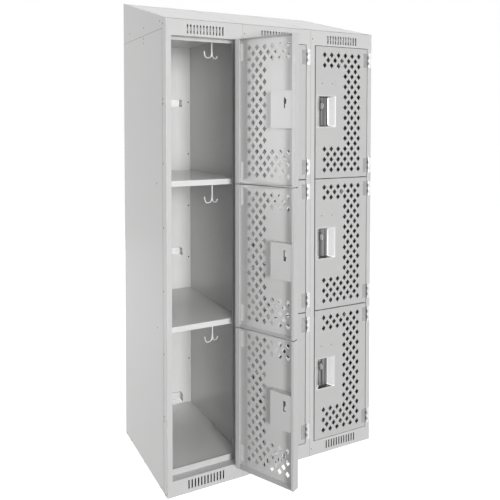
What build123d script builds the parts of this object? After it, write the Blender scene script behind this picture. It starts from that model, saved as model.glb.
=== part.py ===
from build123d import *
import os
from math import atan2, cos, hypot, radians, sin

# Three-tier locker bank: three columns of three perforated doors under a sloping hood.
# Millimetres, +Z up. The origin is the middle of the footprint on the floor, the doors face -Y.

os.makedirs("parts", exist_ok=True)

# Bank
column_names = ("left", "centre", "right")
tier_names = ("bottom", "middle", "top")
column_width = 304.8
depth = 533.4
front_height = 1733.0
hood_rise = 141.0
hood_front = 33.0
sill_height = 58.0
header_height = 60.5

# Sheets, and the hairlines between sheets that meet edge to edge
frame_sheet = 1.5
body_sheet = 1.0
door_sheet = 1.5
seam_gap = 0.2
cut_overrun = 1.0

# Door frame: hat-shaped uprights, sill and header rails
latch_jamb = 19.6
hinge_jamb = 19.8
stop_depth = 38.0
stop_width = 8.0
stop_clearance = 0.6
frame_leg = 40.0
sill_lip = 22.0
sill_return = 8.0
header_lip = 11.0
rail_flange = 25.0

# Vents in the rails
vent_count = 12
vent_pitch = 12.7
vent_width = 4.2
vent_height = 32.5
sill_vent_share = 0.53
header_vent_share = 0.42

# Body panels
side_lap = 14.0
side_joggle = 2.0
back_strap = 18.0
hood_lap = 15.0
deck_setback = 46.0
deck_flange = 21.0
shelf_rise = 14.0

# Holes that join one bank to the next, in the outer legs of the end uprights
gang_hole_radius = 4.0
gang_hole_setback = 33.0
gang_hole_count = 2
gang_hole_pitch = 1158.0
gang_slot_width = 10.0
gang_slot_height = 14.0

# Doors: folded pans that turn on pins in front of the hinge jambs
pin_inset = 16.2
pin_proud = 4.0
hinge_gap = 1.6
latch_gap = 2.8
tier_gap = 3.0
pan_depth = 30.0
latch_lip = 11.0
hinge_lip = 20.0
rest_angles = {"left": 116.0, "centre": 0.0, "right": 0.0}

# Diamond perforations
diamond_width = 19.0
diamond_height = 23.3
diamond_pitch = 34.2
diamond_row_pitch = 21.26
diamond_side_margin = 40.0
diamond_end_margin = 33.0
full_rows_top = 3
full_rows_bottom = 5

# Number-plate recess
plate_width = 72.0
plate_height = 28.5
plate_inset = 60.4
plate_drop = 150.0
plate_recess = 0.6

# Recessed cup, its cover behind the door, and the padlock slot through both
cup_width = 89.0
cup_height = 123.7
cup_floor_width = 45.0
cup_floor_height = 114.0
cup_depth = 22.0
cup_sheet = 0.8
cup_rim = 4.0
cup_inset = 53.5
cup_rise = 4.0
cup_clearance = 0.3
slot_width = 8.0
slot_height = 38.0
slot_offset = 12.0
slot_rise = 23.4
cover_width = 97.0
cover_height = 132.0
cover_depth = 26.0
cover_sheet = 1.0
cover_slot_width = 10.0

# Padlock strikes
strike_sheet = 3.0
strike_height = 25.0
strike_nose = 5.0
strike_chamfer = 6.0
eye_depth = 8.0
eye_height = 13.0
eye_chamfer = 2.5
eye_wall = 3.5
strike_clearance = 0.3

# Butt hinges
barrel_radius = 3.4
knuckle_count = 5
knuckle_gap = 0.4
knuckle_sides = 8
hinge_height = 60.0
hinge_inset = 18.0
hinge_sheet = 1.6
door_leaf_width = 20.0
frame_leaf_reach = 14.6
leaf_clearance = 0.4
bridge_shares = (0.7, 0.4)

# Double coat hooks under each ceiling
hook_inset = 213.0
hook_setback = 80.0
hook_foot_width = 26.0
hook_foot_length = 20.0
hook_wire = 3.0
hook_strip = 6.0
hook_stem = 8.0
hook_drop = 92.0
hook_spread = 35.0
hook_fork = 16.0
hook_tip_rise = 21.0
prong_spread_shares = (1, 0.9, 0.6, 0.3)
prong_rise_shares = (1, 0.28, 0, 0.27)

# Worked out from the sizes above
column_count = len(column_names)
tier_count = len(tier_names)
left = -column_width * column_count / 2
front = -depth / 2
back = depth / 2
body_height = front_height - hood_front
back_height = front_height + hood_rise
seams = [left + column_width * i for i in range(column_count + 1)]
last_seam = column_count
opening_top = front_height - header_height
tier_pitch = (opening_top - sill_height) / tier_count
tier_lines = [sill_height + tier_pitch * i for i in range(tier_count + 1)]
stop_plane = front + stop_depth
deck_front = front + deck_setback
deck_back = back - 3 * body_sheet
hood_slope = hood_rise / depth

door_width = column_width - latch_jamb - latch_gap - hinge_gap - hinge_jamb
door_height = tier_pitch - tier_gap
door_heel = hinge_jamb + hinge_gap - pin_inset
door_reach = door_heel + door_width
pan_back = pin_proud + pan_depth
cup_x = cup_inset - door_reach
cup_z = door_height / 2 + cup_rise
slot_x = cup_x - slot_offset
slot_z = cup_z + slot_rise
knuckle_pitch = hinge_height / knuckle_count
hinge_feet = (hinge_inset, door_height - hinge_inset - hinge_height)


def write_piece(piece, name):
    """Label a finished sub-part and write its file."""
    piece.label = name
    export_step(piece, f"parts/{name}.step")


def far_side(points, sheet):
    """A path's points moved by a sheet's thickness to its left, mitred at the bends."""
    normals = []
    for (x0, y0), (x1, y1) in zip(points, points[1:]):
        run = hypot(x1 - x0, y1 - y0)
        normals.append(((y0 - y1) / run, (x1 - x0) / run))
    moved = []
    for i, (x, y) in enumerate(points):
        before = normals[max(i - 1, 0)]
        after = normals[min(i, len(normals) - 1)]
        reach = sheet / (1 + before[0] * after[0] + before[1] * after[1])
        moved.append((x + reach * (before[0] + after[0]), y + reach * (before[1] + after[1])))
    return moved


def sheet_section(plane, points, sheet):
    """Section of a folded sheet: one side runs through the points, the thickness lies to their left."""
    with BuildSketch(plane) as section:
        with BuildLine():
            Polyline(*points, *reversed(far_side(points, sheet)), close=True)
        make_face()
    return section.sketch


def rectangle_between(plane, x_low, x_high, y_low, y_high):
    """Rectangle on a plane, given by its sides."""
    with BuildSketch(plane) as area:
        with Locations(((x_low + x_high) / 2, (y_low + y_high) / 2)):
            Rectangle(x_high - x_low, y_high - y_low)
    return area.sketch


def wall_faces(column):
    """Inner faces of the walls on a column's left and right."""
    walls = []
    for seam in (column, column + 1):
        walls.append(body_sheet if seam in (0, last_seam) else body_sheet / 2)
    return seams[column] + walls[0], seams[column + 1] - walls[1]


def pin_x(column):
    """Place of a column's hinge pins, left to right."""
    return seams[column + 1] - pin_inset


def door_foot(tier):
    """Height of the lower edge of a tier's doors."""
    return tier_lines[tier] + tier_gap / 2


def door_planes(column, tier, turned=True):
    """Plan and front view of a door, both with the pin's axis as origin at the door's lower edge."""
    angle = radians(rest_angles[column_names[column]]) if turned else 0
    foot = (pin_x(column), front - pin_proud, door_foot(tier))
    along = (cos(angle), sin(angle), 0)
    plan = Plane(origin=foot, x_dir=along, z_dir=(0, 0, 1))
    view = Plane(origin=foot, x_dir=along, z_dir=(sin(angle), -cos(angle), 0))
    return plan, view


# Uprights


def upright_path(seam):
    """Plan of an upright's visible side, left to right: a hat, or a leg at an end of the bank."""
    x = seams[seam]
    if seam == 0:
        path = [(x, front + frame_leg), (x, front)]
    else:
        jamb = x - hinge_jamb
        path = [(jamb - stop_width, stop_plane), (jamb, stop_plane), (jamb, front)]
    if seam == last_seam:
        path += [(x, front), (x, front + frame_leg)]
    else:
        jamb = x + latch_jamb
        path += [(jamb, front), (jamb, stop_plane), (jamb + stop_width, stop_plane)]
    return path


def gang_locations():
    """Depth and height of the joining holes on a side view."""
    middle = body_height / 2
    first = middle - gang_hole_pitch * (gang_hole_count - 1) / 2
    return [(front + gang_hole_setback, first + gang_hole_pitch * i) for i in range(gang_hole_count)]


upright_names = ["upright_left_end", "upright_left_centre", "upright_centre_right", "upright_right_end"]
for seam, name in enumerate(upright_names):
    with BuildPart() as upright:
        extrude(sheet_section(Plane.XY, upright_path(seam), frame_sheet), amount=front_height - body_sheet)
        if seam in (0, last_seam):
            outward = -1 if seam == 0 else 1
            outer_face = Plane.YZ.offset(seams[seam] + outward * cut_overrun)
            leg_top = rectangle_between(
                outer_face, front + frame_sheet, front + frame_leg + cut_overrun, body_height, back_height
            )
            extrude(leg_top, amount=-outward * (frame_sheet + cut_overrun), mode=Mode.SUBTRACT)
            with BuildSketch(outer_face):
                with Locations(*gang_locations()):
                    Circle(gang_hole_radius)
            extrude(amount=-outward * (frame_sheet + 2 * cut_overrun), mode=Mode.SUBTRACT)
    write_piece(upright.part, name)


# Sill and header rails, one of each per column


def vent_slots(column, middle):
    """Row of upright slots in a rail, seen from the front."""
    with BuildSketch(Plane.XZ.offset(-front + cut_overrun)) as slots:
        with Locations((seams[column] + column_width / 2, middle)):
            with GridLocations(vent_pitch, vent_height, vent_count, 1):
                Rectangle(vent_width, vent_height)
    return slots.sketch


def rail_ends(column, low, high):
    """Corners cut from a rail where the uprights' door stops pass."""
    start = seams[column] + latch_jamb
    end = seams[column + 1] - hinge_jamb
    notch = stop_width + stop_clearance
    sides = [(start - cut_overrun, start + notch), (end - notch, end + cut_overrun)]
    floor = Plane.XY.offset(low)
    corners = [rectangle_between(floor, a, b, stop_plane, stop_plane + rail_flange) for a, b in sides]
    return [extrude(corner, amount=high - low, mode=Mode.PRIVATE) for corner in corners]


sill_path = [
    (stop_plane + sill_return, sill_height + sill_lip),
    (stop_plane, sill_height + sill_lip),
    (stop_plane, sill_height),
    (front, sill_height),
    (front, 0),
    (front + rail_flange, 0),
]
header_top = front_height - body_sheet
header_path = [
    (front + rail_flange, header_top),
    (front, header_top),
    (front, opening_top),
    (stop_plane, opening_top),
    (stop_plane, opening_top - header_lip),
]
rails = {
    "sill_rails": (sill_path, sill_height * sill_vent_share, frame_sheet),
    "header_rails": (header_path, opening_top + header_height * header_vent_share, opening_top - header_lip),
}
for name, (path, vent_middle, notch_low) in rails.items():
    with BuildPart() as rail:
        for column in range(column_count):
            start = seams[column] + latch_jamb
            span = column_width - latch_jamb - hinge_jamb
            extrude(sheet_section(Plane.YZ.offset(start), path, frame_sheet), amount=span)
            extrude(vent_slots(column, vent_middle), amount=-frame_sheet - 2 * cut_overrun, mode=Mode.SUBTRACT)
            add(rail_ends(column, notch_low, notch_low + sill_height + sill_lip), mode=Mode.SUBTRACT)
    write_piece(rail.part, name)


# Side panels, dividers and back panels

for side, name in ((1, "side_panel_left"), (-1, "side_panel_right")):
    edge = side * left
    outline = [
        (left, back),
        (left, front + frame_leg + side_joggle),
        (left + frame_sheet, front + frame_leg),
        (left + frame_sheet, front + frame_leg - side_lap),
    ]
    with BuildPart() as panel:
        extrude(sheet_section(Plane.XY, outline, body_sheet), amount=body_height)
        with BuildSketch(Plane.YZ.offset(left)):
            with Locations(*gang_locations()):
                Rectangle(gang_slot_width, gang_slot_height)
        extrude(amount=frame_sheet + body_sheet + cut_overrun, mode=Mode.SUBTRACT)
    finished = panel.part if side == 1 else mirror(panel.part, about=Plane.YZ)
    write_piece(finished, name)

for seam, name in ((1, "divider_left"), (2, "divider_right")):
    x = seams[seam]
    section = rectangle_between(
        Plane.XY, x - body_sheet / 2, x + body_sheet / 2, front + frame_sheet, deck_back
    )
    with BuildPart() as divider:
        extrude(section, amount=body_height)
    write_piece(divider.part, name)

# Flat straps, welded to the walls' back edges, to which the backs are bolted
with BuildPart() as back_straps:
    for seam, x in enumerate(seams):
        start = x + body_sheet if seam == 0 else x - back_strap
        end = x - body_sheet if seam == last_seam else x + back_strap
        section = rectangle_between(Plane.XY, start, end, deck_back, deck_back + body_sheet)
        extrude(section, amount=body_height)
write_piece(back_straps.part, "back_straps")

with BuildPart() as back_panels:
    for column in range(column_count):
        near = body_sheet if column == 0 else seam_gap
        far = body_sheet if column == column_count - 1 else seam_gap
        area = rectangle_between(
            Plane.XY, seams[column] + near, seams[column + 1] - far, back - 2 * body_sheet, back - body_sheet
        )
        extrude(area, amount=body_height + hood_lap)
write_piece(back_panels.part, "back_panels")


# Shelves, floors and ceilings: decks with a rim all round


def deck_outline(column, height, nose):
    """Plan of a deck: full width behind the uprights, its nose between their door stops."""
    x_left, x_right = wall_faces(column)
    nose_left = seams[column] + latch_jamb + stop_width + stop_clearance
    nose_right = seams[column + 1] - hinge_jamb - stop_width - stop_clearance
    with BuildSketch(Plane.XY.offset(height)) as outline:
        with BuildLine():
            Polyline(
                (x_left, deck_front),
                (nose_left, deck_front),
                (nose_left, nose),
                (nose_right, nose),
                (nose_right, deck_front),
                (x_right, deck_front),
                (x_right, deck_back),
                (x_left, deck_back),
                close=True,
            )
        make_face()
    return outline.sketch


def deck(column, height, nose, rim):
    """A deck whose visible side is at a height, with its rim turned down, or up where rim is negative."""
    outline = deck_outline(column, height, nose)
    into = -body_sheet if rim > 0 else body_sheet
    with BuildPart() as tray:
        extrude(outline, amount=-rim)
        pocket = offset(outline, amount=-body_sheet, kind=Kind.INTERSECTION, mode=Mode.PRIVATE)
        extrude(pocket.moved(Location((0, 0, into))), amount=into - rim, mode=Mode.SUBTRACT)
    return tray.part


for shelf, name in ((1, "shelves_lower"), (2, "shelves_upper")):
    with BuildPart() as shelves:
        for column in range(column_count):
            add(deck(column, tier_lines[shelf] + shelf_rise, stop_plane, deck_flange))
    write_piece(shelves.part, name)

floor_height = sill_height + sill_lip - frame_sheet
with BuildPart() as floors:
    for column in range(column_count):
        add(deck(column, floor_height, stop_plane + frame_sheet, deck_flange))
write_piece(floors.part, "floor_panels")

ceiling_height = body_height - body_sheet
with BuildPart() as ceilings:
    for column in range(column_count):
        add(deck(column, ceiling_height, stop_plane + frame_sheet, -hood_lap))
write_piece(ceilings.part, "ceiling_panels")


# Sloping hood: a folded top and back for each column, and two end plates


def hood_underside(y):
    """Height of the hood sheet's underside at a depth."""
    return front_height + (y - front) * hood_slope - body_sheet / cos(atan2(hood_slope, 1))


hood_path = [(back, body_height), (back, back_height), (front, front_height)]
with BuildPart() as hood_tops:
    for column in range(column_count):
        start = seams[column] + (seam_gap / 2 if column > 0 else 0)
        end = seams[column + 1] - (seam_gap / 2 if column < column_count - 1 else 0)
        extrude(sheet_section(Plane.YZ.offset(start), hood_path, body_sheet), amount=end - start)
write_piece(hood_tops.part, "hood_tops")

with BuildPart() as hood_ends:
    for x in (left, -left - body_sheet):
        with BuildSketch(Plane.YZ.offset(x)):
            with BuildLine():
                Polyline(
                    (front + frame_sheet, body_height),
                    (back - body_sheet, body_height),
                    (back - body_sheet, hood_underside(back - body_sheet)),
                    (front + frame_sheet, hood_underside(front + frame_sheet)),
                    close=True,
                )
            make_face()
        extrude(amount=body_sheet)
write_piece(hood_ends.part, "hood_ends")


# Coat hooks: a foot under the ceiling, a stem and two turned-up prongs


def hook_path():
    """Underside of the two prongs, left tip to right tip, with the ceiling at zero."""
    shares = zip(prong_spread_shares, prong_rise_shares)
    half = [(hook_spread * across, hook_tip_rise * up - hook_drop) for across, up in shares]
    crotch = [(0, hook_fork - hook_drop)]
    mirrored = [(-x, z) for x, z in half]
    return mirrored + crotch + half[::-1]


with BuildPart() as coat_hooks:
    for column in range(column_count):
        for tier in range(tier_count):
            top_tier = tier == tier_count - 1
            ceiling = ceiling_height if top_tier else tier_lines[tier + 1] + shelf_rise - body_sheet
            hook_y = front + hook_setback
            view = Plane(
                origin=(seams[column] + hook_inset, hook_y + hook_strip / 2, ceiling),
                x_dir=(1, 0, 0),
                z_dir=(0, -1, 0),
            )
            extrude(sheet_section(view, hook_path(), hook_wire), amount=hook_strip)
            stem = rectangle_between(view, -hook_stem / 2, hook_stem / 2, hook_fork - hook_drop + hook_wire, 0)
            extrude(stem, amount=hook_strip)
            foot = rectangle_between(
                view.offset(hook_strip / 2 - hook_foot_length / 2),
                -hook_foot_width / 2,
                hook_foot_width / 2,
                -hook_wire,
                0,
            )
            extrude(foot, amount=hook_foot_length)
write_piece(coat_hooks.part, "coat_hooks")


# Padlock strikes: a bar from the latch jamb, turned forward into an eye that passes the door's slot

with BuildPart() as strikes:
    for column in range(column_count):
        for tier in range(tier_count):
            low = door_foot(tier) + slot_z - strike_height / 2
            right_face = pin_x(column) + slot_x + strike_sheet / 2
            nose = front + strike_nose
            path = [
                (right_face, nose),
                (right_face, stop_plane),
                (seams[column] + latch_jamb + strike_clearance, stop_plane),
            ]
            extrude(sheet_section(Plane.XY.offset(low), path, strike_sheet), amount=strike_height)
            side_view = Plane.YZ.offset(right_face + cut_overrun)
            eye_middle = (nose + eye_wall + eye_depth / 2, low + strike_height / 2)
            with BuildSketch(side_view) as eye:
                with Locations(eye_middle):
                    Rectangle(eye_depth, eye_height)
                chamfer(eye.vertices(), length=eye_chamfer)
            extrude(amount=-strike_sheet - 2 * cut_overrun, mode=Mode.SUBTRACT)
    tips = strikes.edges().filter_by(Axis.X).group_by(Axis.Y)[0]
    chamfer(tips, length=strike_chamfer)
write_piece(strikes.part, "strikes")


# Hinges: knuckles share the pin's axis, the frame carries the odd ones and the door the even ones


def knuckles(plan, foot, numbers, bridge):
    """Barrel pieces of one leaf, each joined to its leaf by a short bridge."""
    with BuildPart() as barrel:
        for number in numbers:
            low = foot + knuckle_pitch * number + knuckle_gap / 2
            with BuildSketch(plan.offset(low)):
                RegularPolygon(barrel_radius, knuckle_sides)
                with BuildLine():
                    Polyline(*bridge, close=True)
                make_face()
            extrude(amount=knuckle_pitch - knuckle_gap)
    return barrel.part


frame_leaf_left = barrel_radius + leaf_clearance
frame_leaf_front = pin_proud - hinge_sheet
frame_bridge = [
    (0, frame_leaf_front),
    (frame_leaf_left, frame_leaf_front),
    (frame_leaf_left, pin_proud),
    (0, barrel_radius),
]
door_leaf_right = leaf_clearance / 2 - door_heel
door_leaf_back = pin_proud + hinge_sheet
door_bridge = [
    (0, 0),
    (-barrel_radius * bridge_shares[0], barrel_radius * bridge_shares[1]),
    (door_leaf_right, door_leaf_back),
    (door_leaf_right - hinge_sheet, pin_proud),
    (-barrel_radius, 0),
]

with BuildPart() as frame_hinges:
    for column in range(column_count):
        for tier in range(tier_count):
            plan, view = door_planes(column, tier, turned=False)
            for foot in hinge_feet:
                leaf = rectangle_between(
                    plan.offset(foot), frame_leaf_left, frame_leaf_reach, frame_leaf_front, pin_proud
                )
                extrude(leaf, amount=hinge_height)
                add(knuckles(plan, foot, range(0, knuckle_count, 2), frame_bridge))
write_piece(frame_hinges.part, "frame_hinges")


# Doors


def diamond_places():
    """Centres of the diamonds, from the middle of the door: full rows at both ends, a band between."""
    rows = int((door_height - 2 * diamond_end_margin) / diamond_row_pitch) + 1
    wide = int((door_width - 2 * diamond_side_margin) / diamond_pitch) + 1
    places = []
    for row in range(rows):
        z = (rows - 1) / 2 * diamond_row_pitch - row * diamond_row_pitch
        count = wide - row % 2
        full = row < full_rows_top or row >= rows - full_rows_bottom
        for i in range(count):
            x = (i - (count - 1) / 2) * diamond_pitch
            if full or x > 0:
                places.append((x, z))
    return places


def door_pan(column, tier):
    """Folded pan with lips on its long sides, pierced by diamonds, the cup's hole and three recesses."""
    plan, view = door_planes(column, tier)
    face = view.offset(-pin_proud)
    path = [
        (latch_lip - door_reach, pan_back),
        (-door_reach, pan_back),
        (-door_reach, pin_proud),
        (-door_heel, pin_proud),
        (-door_heel, pan_back),
        (-door_heel - hinge_lip, pan_back),
    ]
    with BuildPart() as pan:
        extrude(sheet_section(plan, path, door_sheet), amount=door_height)
        for low in (0, door_height - door_sheet):
            end_wall = rectangle_between(
                plan.offset(low),
                door_sheet - door_reach,
                -door_heel - door_sheet,
                pin_proud + door_sheet,
                pan_back - door_sheet,
            )
            extrude(end_wall, amount=door_sheet)
        for foot in hinge_feet:
            seat = rectangle_between(
                plan.offset(foot - door_sheet),
                -door_heel - door_leaf_width - door_sheet,
                -door_heel - door_sheet,
                pin_proud + door_sheet,
                pin_proud + hinge_sheet + door_sheet,
            )
            extrude(seat, amount=hinge_height + 2 * door_sheet)
            pocket = rectangle_between(
                plan.offset(foot), -door_heel - door_leaf_width, cut_overrun - door_heel, 0, door_leaf_back
            )
            extrude(pocket, amount=hinge_height, mode=Mode.SUBTRACT)
        plate = rectangle_between(
            face,
            plate_inset - door_reach - plate_width / 2,
            plate_inset - door_reach + plate_width / 2,
            door_height - plate_drop - plate_height / 2,
            door_height - plate_drop + plate_height / 2,
        )
        extrude(plate, amount=-plate_recess, mode=Mode.SUBTRACT)
        with BuildSketch(face):
            with Locations((cup_x, cup_z)):
                hole_border = 2 * (cup_sheet + cup_clearance)
                Rectangle(cup_width + hole_border, cup_height + hole_border)
            with Locations((-door_heel - door_width / 2, door_height / 2)):
                with Locations(*diamond_places()):
                    Polygon(
                        (diamond_width / 2, 0),
                        (0, diamond_height / 2),
                        (-diamond_width / 2, 0),
                        (0, -diamond_height / 2),
                    )
        extrude(amount=-door_sheet, mode=Mode.SUBTRACT)
    return pan.part


def taper_prism(mouth, across, mouth_size, floor_size, well_depth):
    """Long prism with a tapered section, wide at the mouth; across is the section's own direction."""
    middle = mouth.from_local_coords((cup_x, cup_z, 0))
    side = mouth.x_dir if across == "width" else mouth.y_dir
    section = Plane(origin=middle, x_dir=side, z_dir=side.cross(mouth.z_dir))
    with BuildPart() as prism:
        with BuildSketch(section):
            with BuildLine():
                Polyline(
                    (-mouth_size / 2, 0),
                    (-floor_size / 2, -well_depth),
                    (floor_size / 2, -well_depth),
                    (mouth_size / 2, 0),
                    close=True,
                )
            make_face()
        extrude(amount=cup_height, both=True)
    return prism.part


def tapered_well(mouth, width, height, floor_width, floor_height, well_depth):
    """Solid with a rectangular mouth on a plane, narrowing to a smaller floor behind it."""
    with BuildPart() as well:
        add(taper_prism(mouth, "width", width, floor_width, well_depth))
        add(taper_prism(mouth, "height", height, floor_height, well_depth), mode=Mode.INTERSECT)
    return well.part


def door_cup(column, tier):
    """Recessed cup: a tapered well with a rim on the door's face and a slot for the padlock eye."""
    face = door_planes(column, tier)[1].offset(-pin_proud)
    wall = 2 * cup_sheet
    outer = tapered_well(
        face, cup_width + wall, cup_height + wall, cup_floor_width + wall, cup_floor_height + wall, cup_depth
    )
    hollow = tapered_well(
        face.offset(cup_sheet), cup_width, cup_height, cup_floor_width, cup_floor_height, cup_depth
    )
    with BuildPart() as cup:
        add(outer)
        with BuildSketch(face):
            with Locations((cup_x, cup_z)):
                Rectangle(cup_width + 2 * cup_rim, cup_height + 2 * cup_rim)
        extrude(amount=cup_sheet)
        add(hollow, mode=Mode.SUBTRACT)
        with BuildSketch(face):
            with Locations((slot_x, slot_z)):
                Rectangle(slot_width, slot_height)
        extrude(amount=-cup_depth - cup_sheet, mode=Mode.SUBTRACT)
    return cup.part


def cup_cover(column, tier):
    """Box behind the door that closes off the cup, with a slot in line with the cup's."""
    inner_face = door_planes(column, tier)[1].offset(-pin_proud - door_sheet)
    with BuildPart() as cover:
        with BuildSketch(inner_face):
            with Locations((cup_x, cup_z)):
                Rectangle(cover_width, cover_height)
        extrude(amount=-cover_depth)
        with BuildSketch(inner_face):
            with Locations((cup_x, cup_z)):
                Rectangle(cover_width - 2 * cover_sheet, cover_height - 2 * cover_sheet)
        extrude(amount=cover_sheet - cover_depth, mode=Mode.SUBTRACT)
        with BuildSketch(inner_face):
            with Locations((slot_x, slot_z)):
                Rectangle(cover_slot_width, slot_height)
        extrude(amount=-cover_depth - cover_sheet, mode=Mode.SUBTRACT)
    return cover.part


def door_hinges(column, tier):
    """The two leaves that the door carries in its pockets, with their knuckles."""
    plan = door_planes(column, tier)[0]
    with BuildPart() as leaves:
        for foot in hinge_feet:
            leaf = rectangle_between(
                plan.offset(foot), -door_heel - door_leaf_width, door_leaf_right, pin_proud, door_leaf_back
            )
            extrude(leaf, amount=hinge_height)
            add(knuckles(plan, foot, range(1, knuckle_count, 2), door_bridge))
    return leaves.part


for column, column_name in enumerate(column_names):
    for tier, tier_name in enumerate(tier_names):
        place = f"{column_name}_{tier_name}"
        write_piece(door_pan(column, tier), f"door_{place}")
        write_piece(door_cup(column, tier), f"cup_{place}")
        write_piece(cup_cover(column, tier), f"cup_cover_{place}")
        write_piece(door_hinges(column, tier), f"door_hinges_{place}")
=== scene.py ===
from math import radians

import bmesh
import bpy
from mathutils import Matrix, Vector


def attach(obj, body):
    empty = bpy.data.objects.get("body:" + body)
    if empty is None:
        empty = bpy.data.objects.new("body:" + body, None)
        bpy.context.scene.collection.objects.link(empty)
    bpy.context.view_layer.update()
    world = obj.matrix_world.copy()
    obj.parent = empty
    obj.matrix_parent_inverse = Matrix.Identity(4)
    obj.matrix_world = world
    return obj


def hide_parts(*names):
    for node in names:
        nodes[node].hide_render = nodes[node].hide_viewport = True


# Three-tier locker bank: powder-coated sheet steel, stainless cups, zinc-plated hardware.
# Metres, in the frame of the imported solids: x right, y back, z up, origin on the floor.

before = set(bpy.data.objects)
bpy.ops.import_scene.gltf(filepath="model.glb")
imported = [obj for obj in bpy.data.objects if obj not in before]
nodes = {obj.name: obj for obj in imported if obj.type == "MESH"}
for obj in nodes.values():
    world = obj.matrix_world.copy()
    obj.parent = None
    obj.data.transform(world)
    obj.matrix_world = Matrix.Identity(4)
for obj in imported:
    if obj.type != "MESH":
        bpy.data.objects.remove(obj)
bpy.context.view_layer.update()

# Cabinet, as the solids have it
COLUMNS = ("left", "centre", "right")
TIERS = ("bottom", "middle", "top")
COMPARTMENTS = [(column, tier) for column in range(len(COLUMNS)) for tier in range(len(TIERS))]
UPRIGHTS = ("upright_left_end", "upright_left_centre", "upright_centre_right", "upright_right_end")
RAILS = ("sill_rails", "header_rails")
COLUMN_WIDTH = 0.3048
LEFT = -0.4572
RIGHT = 0.4572
FRONT = -0.2667
BACK = 0.2667
FRONT_HEIGHT = 1.733
BACK_HEIGHT = 1.874
BODY_HEIGHT = 1.7
SILL_HEIGHT = 0.058
OPENING_TOP = 1.6725
TIER_PITCH = 0.538167
TIER_GAP = 0.003
SHELF_RISE = 0.014
FRAME_SHEET = 0.0015
PANEL_SHEET = 0.001
VENT_COUNT = 12
VENT_PITCH = 0.0127
VENT_WIDTH = 0.0042

# Doors, measured from the foot of their pin; rest angles in degrees
PIN_INSET = 0.0162
PIN_PROUD = 0.004
DOOR_HEIGHT = 0.535167
DOOR_HEEL = 0.0052
DOOR_REACH = 0.2662
DOOR_SHEET = 0.0015
REST_ANGLES = {"left": 116, "centre": 0, "right": 0}
PLATE_HOLES = (0.0558, 0.1064)
PLATE_DROP = 0.150
PLATE_RECESS = 0.0006

# How far a form is drawn off the solids, so that it reads at the photograph's size
VENT_EASE = 0.0005
LATCH_EASE = 0.0017
HEEL_EASE = 0.0014
TIER_EASE = 0.0005

# Bends and eased corners; a bend has flats beside it of at least FLAT_SHARE sheet thicknesses
FRAME_BEND = 0.0009
PANEL_BEND = 0.0008
PAN_BEND = 0.0006
SHORTEST_BEND = 0.1
FLAT_SHARE = 1.5
DIAMOND_CORNER = 0.0011
BEND_SEGMENTS = 3
FINE_SEGMENTS = 4
CUP_SEGMENTS = 5

# Tolerances, and the least share of a direction that counts as along an axis
EXACT = 1e-6
CLOSE = 1e-5
NEAR = 3e-5
SHEET_SLACK = 0.0001
CREASE_REACH = 0.002
FACING = 0.9
STRAIGHT = 0.99

# Camera, from the photograph's vanishing lines: focal length and optical centre in its pixels
PHOTO_SIZE = 500
FOCAL_PIXELS = 604.285
OPTICAL_CENTRE_ROW = 144.096
CAMERA_PLACE = (-1.18439, -2.30524, 1.35402)
CAMERA_YAW = 27.533
CAMERA_TILT = -1.840
SENSOR_WIDTH = 36
VIEW_DEPTH = 100

# Studio: name, place, target, size and power of each light
AMBIENT = 0.06
LIGHTS = (
    ("front_softbox_high", (-0.9, -7.9, 2.2), (-0.1, -0.27, 0.95), 1.8, 252),
    ("front_softbox_low", (-0.9, -7.9, 0.9), (-0.1, -0.27, 0.95), 1.8, 198),
    ("left_softbox", (-4.2, 0.5, 1.5), (-0.46, 0, 0.9), 1.8, 71),
    ("right_softbox", (4.2, 0.6, 1.5), (0.46, 0, 0.9), 1.8, 60),
    ("back_softbox", (0.6, 4.6, 1.6), (0, 0.27, 0.9), 1.8, 85),
    ("top_softbox", (0, -1.1, 4.4), (0, -0.1, 1.8), 2.0, 35),
)
FLOOR_SIZE = 30
FLOOR_PAINT = (0.4, 0.4, 0.4, 1)
GLOW_REACH = (0.6, 1.8)
GLOW_STRENGTH = (0.87, 1.0)
UNDERSIDE_MARGIN = 0.001
WHITE = (1, 1, 1, 1)


def add_camera():
    data = bpy.data.cameras.new("camera")
    camera = bpy.data.objects.new("camera", data)
    bpy.context.scene.collection.objects.link(camera)
    data.sensor_width = SENSOR_WIDTH
    data.lens = FOCAL_PIXELS * SENSOR_WIDTH / PHOTO_SIZE
    data.shift_y = (OPTICAL_CENTRE_ROW - PHOTO_SIZE / 2) / PHOTO_SIZE
    data.clip_end = VIEW_DEPTH
    camera.location = CAMERA_PLACE
    camera.rotation_euler = (radians(90 + CAMERA_TILT), 0, radians(-CAMERA_YAW))
    bpy.context.scene.camera = camera


def add_area_light(name, place, target, size, power):
    data = bpy.data.lights.new(name, "AREA")
    data.shape = "SQUARE"
    data.size = size
    data.energy = power
    light = bpy.data.objects.new(name, data)
    bpy.context.scene.collection.objects.link(light)
    light.location = place
    aim = Vector(target) - Vector(place)
    light.rotation_euler = aim.to_track_quat("-Z", "Y").to_euler()


# Finishes


def node_tree(owner):
    owner.use_nodes = True
    tree = owner.node_tree
    tree.nodes.clear()
    return tree.nodes, tree.links


def math_node(n, link, operation, first, second):
    """One step of arithmetic between sockets or numbers."""
    step = n.new("ShaderNodeMath")
    step.operation = operation
    for socket, value in zip(step.inputs, (first, second)):
        if isinstance(value, (int, float)):
            socket.default_value = value
        else:
            link.new(value, socket)
    return step.outputs[0]


def mix_shaders(n, link, share, first, second):
    mix = n.new("ShaderNodeMixShader")
    link.new(share, mix.inputs["Fac"])
    link.new(first.outputs[0], mix.inputs[1])
    link.new(second.outputs[0], mix.inputs[2])
    return mix.outputs[0]


def map_range(n, link, source, low, high):
    """A value spread between two others."""
    spread = n.new("ShaderNodeMapRange")
    spread.inputs["To Min"].default_value = low
    spread.inputs["To Max"].default_value = high
    link.new(source, spread.inputs["Value"])
    return spread


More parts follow.
